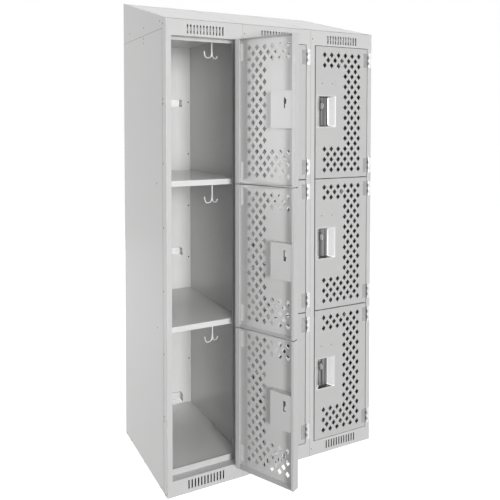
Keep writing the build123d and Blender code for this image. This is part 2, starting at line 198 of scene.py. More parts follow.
def seen_directly(n, link):
    """1 for what the camera sees straight, mirrored or through glass, 0 for light that falls."""
    path = n.new("ShaderNodeLightPath")
    reflected = math_node(
        n, link, "MAXIMUM", path.outputs["Is Glossy Ray"], path.outputs["Is Transmission Ray"]
    )
    return math_node(n, link, "MAXIMUM", path.outputs["Is Camera Ray"], reflected)


def background(n, strength):
    light = n.new("ShaderNodeBackground")
    light.inputs["Color"].default_value = WHITE
    light.inputs["Strength"].default_value = strength
    return light


def add_world():
    """Soft white studio light; white behind the object, also in its reflections."""
    world = bpy.data.worlds.new("studio")
    bpy.context.scene.world = world
    n, link = node_tree(world)
    out = n.new("ShaderNodeOutputWorld")
    light = background(n, AMBIENT)
    white = background(n, 1.0)
    link.new(mix_shaders(n, link, seen_directly(n, link), light, white), out.inputs["Surface"])


def under_cabinet(n, link, place):
    """1 on the floor below the cabinet, where no light reaches, 0 elsewhere."""
    parts = n.new("ShaderNodeSeparateXYZ")
    link.new(place.outputs["Object"], parts.inputs[0])
    inside = []
    for axis, reach in (("X", RIGHT), ("Y", BACK)):
        away = math_node(n, link, "ABSOLUTE", parts.outputs[axis], 0)
        inside.append(math_node(n, link, "LESS_THAN", away, reach - UNDERSIDE_MARGIN))
    return math_node(n, link, "MULTIPLY", *inside)


def floor_finish():
    """Pale studio floor that reads white to the camera, but not below the cabinet."""
    material = bpy.data.materials.new("studio_floor")
    n, link = node_tree(material)
    out = n.new("ShaderNodeOutputMaterial")
    paint = n.new("ShaderNodeBsdfDiffuse")
    paint.inputs["Color"].default_value = FLOOR_PAINT
    glow = n.new("ShaderNodeEmission")
    place = n.new("ShaderNodeTexCoord")
    away = n.new("ShaderNodeVectorMath")
    away.operation = "LENGTH"
    link.new(place.outputs["Object"], away.inputs[0])
    fade = map_range(n, link, away.outputs["Value"], *GLOW_STRENGTH)
    fade.inputs["From Min"].default_value, fade.inputs["From Max"].default_value = GLOW_REACH
    lit = math_node(n, link, "SUBTRACT", 1, under_cabinet(n, link, place))
    glow_here = math_node(n, link, "MULTIPLY", fade.outputs["Result"], lit)
    link.new(glow_here, glow.inputs["Strength"])
    both = n.new("ShaderNodeAddShader")
    link.new(paint.outputs[0], both.inputs[0])
    link.new(glow.outputs[0], both.inputs[1])
    link.new(mix_shaders(n, link, seen_directly(n, link), paint, both), out.inputs["Surface"])
    return material


def add_floor():
    mesh = bpy.data.meshes.new("studio_floor")
    bm = bmesh.new()
    bmesh.ops.create_grid(bm, x_segments=1, y_segments=1, size=FLOOR_SIZE)
    bm.to_mesh(mesh)
    bm.free()
    floor = bpy.data.objects.new("studio_floor", mesh)
    bpy.context.scene.collection.objects.link(floor)
    floor.data.materials.append(floor_finish())


def noise(n, link, place, scale, detail, stretch=(1, 1, 1)):
    """Noise on the object's own coordinates."""
    spread = n.new("ShaderNodeMapping")
    spread.inputs["Scale"].default_value = stretch
    link.new(place.outputs["Object"], spread.inputs["Vector"])
    grain = n.new("ShaderNodeTexNoise")
    grain.inputs["Scale"].default_value = scale
    grain.inputs["Detail"].default_value = detail
    link.new(spread.outputs["Vector"], grain.inputs["Vector"])
    return grain.outputs["Fac"]


def tone_ramp(n, link, source, dark, pale, low, high):
    """From a dark to a pale tone between two values of a noise."""
    ramp = n.new("ShaderNodeValToRGB")
    for element, position, tone in zip(ramp.color_ramp.elements, (low, high), (dark, pale)):
        element.position = position
        element.color = (*tone, 1)
    link.new(source, ramp.inputs["Fac"])
    return ramp.outputs["Color"]


def add_bump(n, link, shader, source, strength, distance):
    bump = n.new("ShaderNodeBump")
    bump.inputs["Strength"].default_value = strength
    bump.inputs["Distance"].default_value = distance
    link.new(source, bump.inputs["Height"])
    link.new(bump.outputs["Normal"], shader.inputs["Normal"])


def multiplied(n, link, first, second):
    """Two colours multiplied."""
    blend = n.new("ShaderNodeMix")
    blend.data_type = "RGBA"
    blend.blend_type = "MULTIPLY"
    blend.inputs[0].default_value = 1
    link.new(first, blend.inputs[6])
    link.new(second, blend.inputs[7])
    return blend.outputs[2]


def shaded(colour, share):
    return [min(1, c * share) for c in colour]


def plain(tone):
    return (tone, tone, tone)


# Noises: scale per metre and detail. Shares: darkest and palest. Spreads: their noise values.
CLOUD = (2.6, 3)
CLOUD_SHARES = (0.98, 1.015)
CLOUD_SPREAD = (0.1, 0.9)
SPECKS = (900, 2)
SPECK_SHARE = 0.93
SPECK_SPREAD = (0.24, 0.34)
SHEEN_BELOW = 0.02
SHEEN_ABOVE = 0.03
PEEL = (380, 2)
PEEL_STRENGTH = 0.07
PEEL_DEPTH = 0.0004
GRAIN = (1, 4)
GRAIN_SPREAD = (0.35, 0.65)
GRAIN_SHEEN_SHARES = (0.75, 1.25)
GRAIN_STRENGTH = 0.2
GRAIN_DEPTH = 0.0002


def powder_coat(name, colour, roughness):
    """Satin powder coat: fine orange peel, soft change of tone, a few specks of dust."""
    material = bpy.data.materials.new(name)
    n, link = node_tree(material)
    out = n.new("ShaderNodeOutputMaterial")
    coat = n.new("ShaderNodeBsdfPrincipled")
    link.new(coat.outputs[0], out.inputs["Surface"])
    place = n.new("ShaderNodeTexCoord")
    cloud = noise(n, link, place, *CLOUD)
    dark, pale = (shaded(colour, share) for share in CLOUD_SHARES)
    tone = tone_ramp(n, link, cloud, dark, pale, *CLOUD_SPREAD)
    specks = noise(n, link, place, *SPECKS)
    dust = tone_ramp(n, link, specks, plain(SPECK_SHARE), plain(1), *SPECK_SPREAD)
    link.new(multiplied(n, link, tone, dust), coat.inputs["Base Color"])
    sheen = map_range(n, link, cloud, roughness - SHEEN_BELOW, roughness + SHEEN_ABOVE)
    link.new(sheen.outputs["Result"], coat.inputs["Roughness"])
    add_bump(n, link, coat, noise(n, link, place, *PEEL), PEEL_STRENGTH, PEEL_DEPTH)
    return material


def bare_metal(name, colour, roughness, grain, contrast=0.84, metallic=1):
    """Bare or plated steel; grain stretches its noise into drawn lines or leaves it as spangle."""
    material = bpy.data.materials.new(name)
    n, link = node_tree(material)
    out = n.new("ShaderNodeOutputMaterial")
    metal = n.new("ShaderNodeBsdfPrincipled")
    metal.inputs["Metallic"].default_value = metallic
    link.new(metal.outputs[0], out.inputs["Surface"])
    place = n.new("ShaderNodeTexCoord")
    lines = noise(n, link, place, *GRAIN, grain)
    tone = tone_ramp(n, link, lines, shaded(colour, contrast), colour, *GRAIN_SPREAD)
    link.new(tone, metal.inputs["Base Color"])
    sheen = map_range(n, link, lines, *(roughness * share for share in GRAIN_SHEEN_SHARES))
    link.new(sheen.outputs["Result"], metal.inputs["Roughness"])
    add_bump(n, link, metal, lines, GRAIN_STRENGTH, GRAIN_DEPTH)
    return material


# Places


def seam(column):
    """Left edge of a column."""
    return LEFT + COLUMN_WIDTH * column


def ceiling_height(tier):
    """Underside of the deck above a compartment."""
    if tier == len(TIERS) - 1:
        return BODY_HEIGHT - PANEL_SHEET
    return SILL_HEIGHT + TIER_PITCH * (tier + 1) + SHELF_RISE - PANEL_SHEET


def door_place(column, tier):
    """Words for a door's place, as in the names of its pieces."""
    return f"{COLUMNS[column]}_{TIERS[tier]}"


def pin_frame(column, tier, turned):
    """Place of a door's pin at its foot, turned with the door or square to the cabinet."""
    angle = REST_ANGLES[COLUMNS[column]] if turned else 0
    foot = SILL_HEIGHT + TIER_PITCH * tier + TIER_GAP / 2
    place = Matrix.Translation((seam(column + 1) - PIN_INSET, FRONT - PIN_PROUD, foot))
    return place @ Matrix.Rotation(radians(angle), 4, "Z")


# Shaping


def merged_copy(node):
    """A CAD node's mesh with its loose triangles joined into flat faces."""
    bm = bmesh.new()
    bm.from_mesh(nodes[node].data)
    bmesh.ops.remove_doubles(bm, verts=bm.verts[:], dist=CLOSE)
    bmesh.ops.dissolve_limit(bm, angle_limit=radians(1), verts=bm.verts[:], edges=bm.edges[:])
    return bm


def round_edges(bm, edges, radius, segments=2):
    bmesh.ops.bevel(
        bm, geom=edges, offset=radius, offset_type="OFFSET", segments=segments, profile=0.5,
        affect="EDGES", clamp_overlap=True, material=-1,
    )


def cut_through(bm, place, facing):
    """Cuts the faces along a plane, without removing anything."""
    whole = bm.verts[:] + bm.edges[:] + bm.faces[:]
    bmesh.ops.bisect_plane(bm, geom=whole, dist=EXACT, plane_co=place, plane_no=facing)


def middle_of(edge):
    return (edge.verts[0].co + edge.verts[1].co) / 2


def run_of(edge):
    return edge.verts[1].co - edge.verts[0].co


def is_sharp(edge, least=radians(30)):
    return len(edge.link_faces) == 2 and edge.calc_face_angle() > least


def is_convex(edge, least=radians(50)):
    return len(edge.link_faces) == 2 and edge.calc_face_angle_signed() > least


def add_block(bm, low, high):
    """A block between two corners; returns its vertices."""
    made = bmesh.ops.create_cube(bm, size=1)["verts"]
    size = Vector(high) - Vector(low)
    bmesh.ops.scale(bm, vec=size, verts=made)
    bmesh.ops.translate(bm, vec=(Vector(high) + Vector(low)) / 2, verts=made)
    return made


def edges_of(verts):
    """The edges that meet some vertices, each once."""
    return list(dict.fromkeys(edge for vert in verts for edge in vert.link_edges))


def edges_along(verts, axis):
    """Edges of a piece that run along an axis."""
    return [edge for edge in edges_of(verts) if abs(run_of(edge).normalized()[axis]) > STRAIGHT]


def add_barrel(bm, radius, low, high, rounding, segments=24):
    """Upright round bar with eased ends around the z axis."""
    made = bmesh.ops.create_cone(
        bm, cap_ends=True, segments=segments, radius1=radius, radius2=radius, depth=high - low
    )["verts"]
    bmesh.ops.translate(bm, vec=(0, 0, (high + low) / 2), verts=made)
    rims = [edge for edge in edges_of(made) if abs(run_of(edge).z) < EXACT]
    round_edges(bm, rims, rounding)


# Heads of fixings: radius, and how far they stand proud
PLATE_HOLE = (0.0027, 0.0002)
HINGE_SCREW = (0.0024, 0.0005)
HOOK_SCREW = (0.003, 0.0012)
SIDE_BOLT = (0.0045, 0.0003)
SHELF_RIVET = (0.0038, 0.0003)
HOOD_BOLT = (0.0042, 0.0003)
FRAME_BOLT = (0.003, 0.0003)
CORNER_BOLT = (0.0036, 0.0022)
HEAD_SUNK = 0.0004
HEAD_TOP_SHARE = 0.72
HEAD_SEGMENTS = 12


def add_head(bm, place, facing, head):
    """Low domed head of a bolt, screw or rivet that stands on a surface."""
    radius, proud = head
    made = bmesh.ops.create_cone(
        bm, cap_ends=True, segments=HEAD_SEGMENTS, radius1=radius, radius2=radius * HEAD_TOP_SHARE,
        depth=proud + HEAD_SUNK,
    )["verts"]
    bmesh.ops.translate(bm, vec=(0, 0, (proud - HEAD_SUNK) / 2), verts=made)
    turn = Vector(facing).to_track_quat("Z", "Y").to_matrix().to_4x4()
    bmesh.ops.transform(bm, matrix=Matrix.Translation(place) @ turn, verts=made)


def finish_piece(name, bm, materials, body, smooth=radians(35)):
    """Turns a bmesh into a piece that rides on a body."""
    mesh = bpy.data.meshes.new(name)
    bm.to_mesh(mesh)
    bm.free()
    mesh.shade_smooth()
    mesh.set_sharp_from_angle(angle=smooth)
    piece = bpy.data.objects.new(name, mesh)
    bpy.context.scene.collection.objects.link(piece)
    for material in materials:
        mesh.materials.append(material)
    even = piece.modifiers.new("even_shading", "WEIGHTED_NORMAL")
    even.weight = 100
    even.keep_sharp = True
    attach(piece, body)
    return piece


def dress(node, material):
    """Gives a CAD node its finish."""
    mesh = nodes[node].data
    mesh.materials.clear()
    mesh.materials.append(material)


# Folded sheet: copies of the CAD sheets with their bends rounded


def is_fold(edge, sheet):
    """A bend's outer edge: neither face beside it is just the thickness of the sheet."""
    if not is_convex(edge):
        return False
    run = run_of(edge).normalized()
    for face in edge.link_faces:
        across = run.cross(face.normal)
        reach = [(vert.co - edge.verts[0].co).dot(across) for vert in face.verts]
        if max(reach) - min(reach) < FLAT_SHARE * sheet:
            return False
    return True


def beside_rail(edge):
    """True where a jamb butts against a sill or header rail, which hides its bend."""
    middle = middle_of(edge)
    return not SILL_HEIGHT < middle.z < OPENING_TOP and abs(middle.x) < RIGHT - PANEL_SHEET


def open_vents(bm):
    """Draws the vent slots a little wider."""
    last = VENT_COUNT - 1
    for vert in bm.verts:
        in_column = (vert.co.x - LEFT) % COLUMN_WIDTH - COLUMN_WIDTH / 2
        number = round(in_column / VENT_PITCH + last / 2)
        aside = in_column - (number - last / 2) * VENT_PITCH
        on_slot = 0 <= number <= last and abs(abs(aside) - VENT_WIDTH / 2) < SHEET_SLACK
        if on_slot and vert.co.y < FRONT + FRAME_SHEET + SHEET_SLACK:
            vert.co.x += VENT_EASE if aside > 0 else -VENT_EASE


def crease_across(mesh, heights):
    """Keeps the shading of a bend's end off the flat face above or below it."""
    for edge in mesh.edges:
        ends = [mesh.vertices[index].co.z for index in edge.vertices]
        if any(max(abs(end - height) for end in ends) < CREASE_REACH for height in heights):
            edge.use_edge_sharp = True


def folded_sheet(node, material, bend, sheet):
    """Stands for a CAD sheet piece, with its long bends rounded."""
    bm = merged_copy(node)
    if node in RAILS:
        open_vents(bm)
    if node in UPRIGHTS:
        for height in (SILL_HEIGHT, OPENING_TOP):
            cut_through(bm, (0, 0, height), (0, 0, 1))
    long_edges = [edge for edge in bm.edges if edge.calc_length() > SHORTEST_BEND]
    folds = [edge for edge in long_edges if is_fold(edge, sheet)]
    if node in UPRIGHTS:
        folds = [edge for edge in folds if not beside_rail(edge)]
    if node in RAILS:
        folds = [edge for edge in folds if abs(run_of(edge).x) > SHORTEST_BEND]
    round_edges(bm, folds, bend, BEND_SEGMENTS)
    piece = finish_piece(f"folded_{node}", bm, (material,), "cabinet")
    if node in UPRIGHTS:
        crease_across(piece.data, (SILL_HEIGHT, OPENING_TOP))
    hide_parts(node)


# Doors

SHADED_INNER_COAT = 1


def ease_outline(bm):
    """Draws the pan a little smaller, so that the gap round it reads as a dark line."""
    rim = DOOR_SHEET + SHEET_SLACK
    for vert in bm.verts:
        if vert.co.x < -DOOR_REACH + rim:
            vert.co.x += LATCH_EASE
        elif vert.co.x > -DOOR_HEEL - rim:
            vert.co.x -= HEEL_EASE
        if vert.co.z < rim:
            vert.co.z += TIER_EASE
        elif vert.co.z > DOOR_HEIGHT - rim:
            vert.co.z -= TIER_EASE


def is_hole_corner(edge):
    """A corner of a diamond: an inner edge straight through the door's sheet."""
    run = run_of(edge)
    straight = abs(run.x) < NEAR and abs(run.z) < NEAR
    through = abs(abs(run.y) - DOOR_SHEET) < SHEET_SLACK
    return straight and through and not is_convex(edge) and is_sharp(edge)


def is_pan_outline(edge):
    """An outer edge of the pan's face, after its outline is eased."""
    middle = middle_of(edge)
    off_outline = min(
        abs(middle.x + DOOR_REACH - LATCH_EASE), abs(middle.x + DOOR_HEEL + HEEL_EASE),
        abs(middle.z - TIER_EASE), abs(middle.z - DOOR_HEIGHT + TIER_EASE),
    )
    return abs(middle.y - PIN_PROUD) < NEAR and off_outline < NEAR and is_convex(edge)


def perforated_door(column, tier):
    """Door pan with rounded bends and with eased corners in its diamonds."""
    place = door_place(column, tier)
    node = f"door_{place}"
    bm = merged_copy(node)
    pin = pin_frame(column, tier, True)
    bm.transform(pin.inverted())
    round_edges(bm, [edge for edge in bm.edges if is_hole_corner(edge)], DIAMOND_CORNER)
    ease_outline(bm)
    round_edges(bm, [edge for edge in bm.edges if is_pan_outline(edge)], PAN_BEND, BEND_SEGMENTS)
    # Painted shade: faces that look into the cabinet take the darker inner coat.
    for face in bm.faces:
        if face.normal.y > FACING:
            face.material_index = SHADED_INNER_COAT
    bm.transform(pin)
    finishes = (door_enamel, shaded_inner_enamel)
    piece = finish_piece(f"perforated_{node}", bm, finishes, f"{place}_door")
    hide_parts(node)


def plate_holes(column, tier):
    """Painted shadow: two dark discs for the rivet holes of the number-plate recess."""
    bm = bmesh.new()
    for hole in PLATE_HOLES:
        x = hole - COLUMN_WIDTH + PIN_INSET
        spot = (x, PIN_PROUD + PLATE_RECESS, DOOR_HEIGHT - PLATE_DROP)
        add_head(bm, spot, (0, -1, 0), PLATE_HOLE)
    bm.transform(pin_frame(column, tier, True))
    place = door_place(column, tier)
    finish_piece(f"plate_holes_{place}", bm, (seam_shadow,), f"{place}_door")


# Padlock cups: widths and heights of the mouth, the floor and the slot; the slot's offset from the
# cup's middle

CUP_PLACE = (-0.2127, 0.271583)
CUP_MOUTH = (0.089, 0.1237)
CUP_FLOOR = (0.045, 0.114)
CUP_DEPTH = 0.022
CUP_SHEET = 0.0008
CUP_RIM = 0.004
CUP_CORNER = 0.0045
CUP_ROLL = 0.0014
SLOT_SIZE = (0.008, 0.038)
SLOT_OFFSET = (-0.0120, 0.0234)
CUP_SKIN = 0.0012
SHADED_MARGIN = 0.002
SHADED_TILT = 0.6
STREAKED_AND_SHADED = 1
RIM = 2


def at_cup_floor(face):
    return face.calc_center_median().y > CUP_DEPTH - CLOSE


def at_cup_mouth(edge):
    return edge.verts[0].co.y < EXACT and edge.verts[1].co.y < EXACT


def cup_bowl(bm):
    """Scoop with sloping walls, open at the front."""
    made = bmesh.ops.create_cube(bm, size=1)["verts"]
    bmesh.ops.translate(bm, vec=(0, 0.5, 0), verts=made)
    for vert in made:
        width, height = CUP_MOUTH if vert.co.y < 0.5 else CUP_FLOOR
        vert.co.x *= width
        vert.co.z *= height
        vert.co.y *= CUP_DEPTH
    mouth = [face for face in bm.faces if face.calc_center_median().y < EXACT]
    bmesh.ops.delete(bm, geom=mouth, context="FACES_ONLY")
    walls = [edge for edge in bm.edges if len(edge.link_faces) == 2]
    round_edges(bm, walls, CUP_CORNER, CUP_SEGMENTS)


def cut_slot(bm):
    """Opens the padlock slot in the floor of the cup."""
    slot_x, slot_z = SLOT_OFFSET
    half_width, half_height = SLOT_SIZE[0] / 2, SLOT_SIZE[1] / 2
    for side in (-half_width, half_width):
        cut_through(bm, (slot_x + side, 0, 0), (1, 0, 0))
    for side in (-half_height, half_height):
        cut_through(bm, (0, 0, slot_z + side), (0, 0, 1))
    hole = []
    for face in bm.faces:
        middle = face.calc_center_median()
        in_slot = abs(middle.x - slot_x) < half_width and abs(middle.z - slot_z) < half_height
        if in_slot and at_cup_floor(face):
            hole.append(face)
    bmesh.ops.delete(bm, geom=hole, context="FACES_ONLY")


def add_rim(bm):
    """Flat rim round the mouth, with a rolled edge between it and the walls."""
    lips = [edge for edge in bm.edges if edge.is_boundary and at_cup_mouth(edge)]
    rim = bmesh.ops.extrude_edge_only(bm, edges=lips)["geom"]
    outer = [item for item in rim if isinstance(item, bmesh.types.BMVert)]
    grow = Vector((1 + 2 * CUP_RIM / CUP_MOUTH[0], 1, 1 + 2 * CUP_RIM / CUP_MOUTH[1]))
    bmesh.ops.scale(bm, vec=grow, verts=outer)
    roll = [edge for edge in bm.edges if at_cup_mouth(edge) and is_sharp(edge)]
    round_edges(bm, roll, CUP_ROLL, BEND_SEGMENTS)


def give_thickness(bm):
    """Faces the cup's skin outwards, then makes it a sheet."""
    bmesh.ops.recalc_face_normals(bm, faces=bm.faces[:])
    floor = [face for face in bm.faces if abs(face.normal.y) > STRAIGHT and at_cup_floor(face)]
    if floor and floor[0].normal.y > 0:
        bmesh.ops.reverse_faces(bm, faces=bm.faces[:])
    bmesh.ops.solidify(bm, geom=bm.faces[:], thickness=CUP_SHEET)
    bmesh.ops.recalc_face_normals(bm, faces=bm.faces[:])


def mark_cup_finishes(bm):
    """Painted shade: a dark streaked finish on the floor and the short walls, a duller rim."""
    for face in bm.faces:
        middle = face.calc_center_median()
        flat = abs(face.normal.y) > FACING
        over_floor = abs(middle.x) < CUP_FLOOR[0] / 2 + SHADED_MARGIN
        if middle.y > CUP_SKIN and (flat or abs(face.normal.z) > SHADED_TILT) and over_floor:
            face.material_index = STREAKED_AND_SHADED
        past_mouth = abs(middle.x) > CUP_MOUTH[0] / 2 or abs(middle.z) > CUP_MOUTH[1] / 2
        if past_mouth and middle.y < CUP_SKIN and flat:
            face.material_index = RIM


def padlock_cup(column, tier):
    """Drawn scoop of stainless steel with a rolled mouth, a rim and the padlock slot."""
    bm = bmesh.new()
    cup_bowl(bm)
    cut_slot(bm)
    add_rim(bm)
    give_thickness(bm)
    mark_cup_finishes(bm)
    spot = (CUP_PLACE[0], PIN_PROUD - CUP_SHEET, CUP_PLACE[1])
    bmesh.ops.translate(bm, vec=spot, verts=bm.verts[:])
    bm.transform(pin_frame(column, tier, True))
    place = door_place(column, tier)
    finishes = (stainless, streaked_and_shaded_stainless, rim_stainless)
    piece = finish_piece(
        f"padlock_cup_{place}", bm, finishes, f"{place}_door", radians(50)
    )
    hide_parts(f"cup_{place}")


# Hinges. A tongue joins a leaf to its knuckles: corners of its blocks, in x and y from the pin.

BARREL_RADIUS = 0.0034
BARREL_EASE = 0.0005
KNUCKLE_COUNT = 5
KNUCKLE_GAP = 0.0003
HINGE_HEIGHT = 0.06
HINGE_INSET = 0.018
HINGE_SHEET = 0.0016
HINGE_FEET = (HINGE_INSET, DOOR_HEIGHT - HINGE_INSET - HINGE_HEIGHT)
DOOR_LEAF_WIDTH = 0.02
DOOR_LEAF_OVERLAP = 0.0002
FRAME_LEAF_START = BARREL_RADIUS + 0.0004
FRAME_LEAF_REACH = 0.0146
LEAF_CORNER = 0.0022
SCREW_SHARES = (0.17, 0.5, 0.83)
FRAME_TONGUE = (((0, 0.0018), (0.0044, 0.0034)),)
DOOR_TONGUE = (((-0.0049, 0.0022), (0, 0.0038)), ((-0.0056, 0.0022), (-0.0040, 0.0052)))
PIN_RADIUS_SHARE = 0.62
PIN_EASE = 0.0007
PIN_OUT = 0.0012
PIN_IN = 0.002
PIN_SEGMENTS = 16
LEAF = 1


def hinge_leaf(bm, foot, near, far, front, tongue, numbers):
    """A flat leaf with clipped corners and round knuckles on tongues that reach the pin."""
    leaf = add_block(bm, (near, front, foot), (far, front + HINGE_SHEET, foot + HINGE_HEIGHT))
    for face in {face for vert in leaf for face in vert.link_faces}:
        face.material_index = LEAF
    free = max(near, far, key=abs)
    clipped = [edge for edge in edges_along(leaf, 1) if abs(edge.verts[0].co.x - free) < EXACT]
    round_edges(bm, clipped, LEAF_CORNER, BEND_SEGMENTS)
    pitch = HINGE_HEIGHT / KNUCKLE_COUNT
    for number in numbers:
        low = foot + pitch * number + KNUCKLE_GAP / 2
        high = low + pitch - KNUCKLE_GAP
        add_barrel(bm, BARREL_RADIUS, low, high, BARREL_EASE)
        for (x0, y0), (x1, y1) in tongue:
            add_block(bm, (x0, y0, low), (x1, y1, high))
    for share in SCREW_SHARES:
        spot = ((near + far) / 2, front, foot + HINGE_HEIGHT * share)
        add_head(bm, spot, (0, -1, 0), HINGE_SCREW)


def hinge_pin(bm, foot):
    """Domed ends of the pin, above and below the barrel."""
    top = foot + HINGE_HEIGHT
    for low, high in ((foot - PIN_OUT, foot + PIN_IN), (top - PIN_IN, top + PIN_OUT)):
        add_barrel(bm, BARREL_RADIUS * PIN_RADIUS_SHARE, low, high, PIN_EASE, PIN_SEGMENTS)


def frame_leaves():
    """The leaves on the hinge jambs, with the odd knuckles and the pins."""
    whole = bmesh.new()
    for column, tier in COMPARTMENTS:
        bm = bmesh.new()
        for foot in HINGE_FEET:
            hinge_leaf(
                bm, foot, FRAME_LEAF_START, FRAME_LEAF_REACH, PIN_PROUD - HINGE_SHEET,
                FRAME_TONGUE, range(0, KNUCKLE_COUNT, 2),
            )
            hinge_pin(bm, foot)
        bm.transform(pin_frame(column, tier, False))
        mesh = bpy.data.meshes.new("leaf")
        bm.to_mesh(mesh)
        bm.free()
        whole.from_mesh(mesh)
        bpy.data.meshes.remove(mesh)
    piece = finish_piece("frame_leaves", whole, (bright_zinc, satin_zinc), "cabinet")
    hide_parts("frame_hinges")


def door_leaves(column, tier):
    """The two leaves in a door's pockets, with the even knuckles."""
    bm = bmesh.new()
    for foot in HINGE_FEET:
        hinge_leaf(
            bm, foot, -DOOR_HEEL - DOOR_LEAF_WIDTH, -DOOR_HEEL + DOOR_LEAF_OVERLAP, PIN_PROUD,
            DOOR_TONGUE, range(1, KNUCKLE_COUNT, 2),
        )
    bm.transform(pin_frame(column, tier, True))
    place = door_place(column, tier)
    # Painted shade: the door leaves, knuckles and screws are darker copies of the frame hinges'
    # zinc.
    finishes = (shaded_knuckle_and_screw_zinc, shaded_leaf_zinc)
    piece = finish_piece(f"door_leaves_{place}", bm, finishes, f"{place}_door")
    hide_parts(f"door_hinges_{place}")


# Coat hooks. Each prong: its direction, then its points as spread from the stem and drop.

HOOK_INSET = 0.213
HOOK_SETBACK = 0.08
HOOK_WIRE = 0.0027
HOOK_STEM_DROPS = (0.002, 0.045, 0.068)
HOOK_PRONGS = (
    ((-0.985, -0.17), ((0.004, 0.0890), (0.020, 0.0922), (0.0325, 0.0880), (0.0350, 0.0705))),
    ((0.87, 0.49), ((0.004, 0.0885), (0.018, 0.0922), (0.0285, 0.0920), (0.0320, 0.0850))),
)
HOOK_BALL = 0.0032
HOOK_BALL_RISE = 0.001
HOOK_FOOT = (0.013, 0.010)
HOOK_FOOT_DROPS = (0.0028, 0.0002)
HOOK_FOOT_CORNER = 0.004
HOOK_SCREW_ASIDE = 0.0085


def wire(name, points, radius):
    """Round wire along a smooth line that the points guide, as a mesh."""
    data = bpy.data.curves.new(name, "CURVE")
    data.dimensions = "3D"
    data.bevel_depth = radius
    data.bevel_resolution = 5
    data.resolution_u = 10
    data.use_fill_caps = True
    line = data.splines.new("NURBS")
    line.points.add(len(points) - 1)
    for point, place in zip(line.points, points):
        point.co = (*place, 1)
    line.order_u = 3
    line.use_endpoint_u = True
    holder = bpy.data.objects.new(name, data)
    mesh = bpy.data.meshes.new_from_object(holder)
    bpy.data.objects.remove(holder)
    bpy.data.curves.remove(data)
    return mesh


def coat_hook(bm, x, y, ceiling):
    """Double hook: a screwed foot, a stem and two forked prongs that end in balls."""
    for (away, aside), curve in HOOK_PRONGS:
        points = [(x, y, ceiling - drop) for drop in HOOK_STEM_DROPS]
        points += [(x + away * out, y + aside * out, ceiling - drop) for out, drop in curve]
        mesh = wire("prong", points, HOOK_WIRE)
        bm.from_mesh(mesh)
        bpy.data.meshes.remove(mesh)
        bmesh.ops.remove_doubles(bm, verts=bm.verts[:], dist=EXACT)
        ball = bmesh.ops.create_uvsphere(bm, u_segments=14, v_segments=10, radius=HOOK_BALL)
        tip = Vector(points[-1]) + Vector((0, 0, HOOK_BALL_RISE))
        bmesh.ops.translate(bm, vec=tip, verts=ball["verts"])
    half_width, half_length = HOOK_FOOT
    under, over = (ceiling - drop for drop in HOOK_FOOT_DROPS)
    low = (x - half_width, y - half_length, under)
    high = (x + half_width, y + half_length, over)
    foot = add_block(bm, low, high)
    round_edges(bm, edges_along(foot, 2), HOOK_FOOT_CORNER, FINE_SEGMENTS)
    for side in (-HOOK_SCREW_ASIDE, HOOK_SCREW_ASIDE):
        add_head(bm, (x + side, y, under), (0, 0, -1), HOOK_SCREW)


def coat_hooks():
    """One hook under the deck above each compartment."""
    bm = bmesh.new()
    for column, tier in COMPARTMENTS:
        coat_hook(bm, seam(column) + HOOK_INSET, FRONT + HOOK_SETBACK, ceiling_height(tier))
    piece = finish_piece("wire_coat_hooks", bm, (satin_zinc,), "cabinet")
    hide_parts("coat_hooks")


# Padlock strikes

STRIKE_LEAST = 0.0025
STRIKE_NOSE_DEPTH = 0.012
STRIKE_NOSE_RADIUS = 0.0028
STRIKE_EASE = 0.0004


def is_strike_nose(edge):
    """A front corner of a strike, straight through its plate."""
    run = run_of(edge)
    through = abs(run.x) > STRIKE_LEAST and abs(run.y) < EXACT and abs(run.z) < EXACT
    in_nose = edge.verts[0].co.y < FRONT + STRIKE_NOSE_DEPTH
    return through and in_nose and is_convex(edge, radians(30))


def padlock_strikes():
    """Strikes with a rounded nose and an eased eye."""
    bm = merged_copy("strikes")
    nose = [edge for edge in bm.edges if is_strike_nose(edge)]
    round_edges(bm, nose, STRIKE_NOSE_RADIUS, FINE_SEGMENTS)
    round_edges(bm, [edge for edge in bm.edges if is_convex(edge, radians(70))], STRIKE_EASE)
    piece = finish_piece("rounded_strikes", bm, (strike_zinc,), "cabinet")
    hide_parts("strikes")


# Seams and fixings. Depths run back from the front face.

INNER_SEAMS = (1, 2)
LAP_DEPTH = 0.040
SEAM_PROUD = 0.0001
SEAM_SUNK = 0.0003
SEAM_HALF = 0.0006
LAP_SEAM_HALF = 0.0007
FRAME_SEAM_HALF = 0.0003
SEAM_END = 0.001
FRONT_SEAM_DROP = 0.0015
HOOD_SEAM_DROPS = (0.0014, 0.0006)
HOOD_SEAM_SUNK = 0.0004
HOOD_SEAM_INSET = 0.002
HOOD_SLOPE = (BACK_HEIGHT - FRONT_HEIGHT) / (BACK - FRONT)
FOOT_NOTCHES = (0.022, 0.073, 0.268, 0.458, 0.518)
FOOT_NOTCH_HALF = 0.004
FOOT_NOTCH_HEIGHT = 0.005
SIDE_BOLT_DEPTH = 0.033
SIDE_BOLTS = (0.2875, 0.5184, 0.749, 0.9808, 1.2138, 1.4456)
SHELF_RIVET_DEPTH = 0.106
SHELF_RIVETS = (0.595, 1.136)
HOOD_BOLTS = (
    (0.033, 1.716), (0.0645, 1.7285), (0.255, 1.731), (0.442, 1.733), (0.255, 1.689),
    (0.255, 1.671),
)
FRAME_BOLT_ASIDE = 0.008
FRAME_BOLTS = (0.029, 1.697)
CORNER_BOLT_ASIDE = 0.010
CORNER_BOLT_DEPTH = 0.003
CORNER_BOLTS = (0.280, 0.750, 0.986, 1.221, 1.456)


def hood_height(y):
    """Top of the hood at a depth."""
    return FRONT_HEIGHT + HOOD_SLOPE * (y - FRONT)


